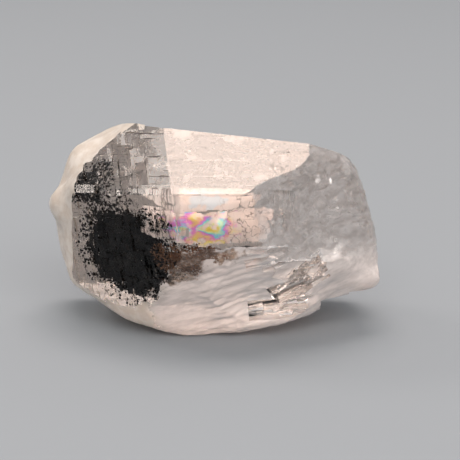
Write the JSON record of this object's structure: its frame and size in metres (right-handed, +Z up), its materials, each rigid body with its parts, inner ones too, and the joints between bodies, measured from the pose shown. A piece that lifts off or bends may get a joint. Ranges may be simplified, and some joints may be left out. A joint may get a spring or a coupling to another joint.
{
  "type": "quartz crystal with dark mineral inclusion",
  "caption": "Natural clear quartz crystal lying on its side, with a smooth prism, a stepped point, a frosted broken end and a black mineral inclusion sealed near the point.",
  "frame": {"origin": "on the resting surface, under the middle of the crystal's outline", "axes": "+X along the crystal's length, from the point towards the broken end; +Y towards the hidden side; +Z up"},
  "size_m": [0.0664, 0.033, 0.0416],
  "materials": {
    "clear_quartz": "glossy",
    "dark_mineral": "matte",
    "fracture_film": "satin"
  },
  "bodies": {
    "root": {"quartz_upper": "clear_quartz", "quartz_lower": "clear_quartz", "dark_inclusion": "dark_mineral", "fracture_film": "fracture_film"}
  },
  "joints": []
}
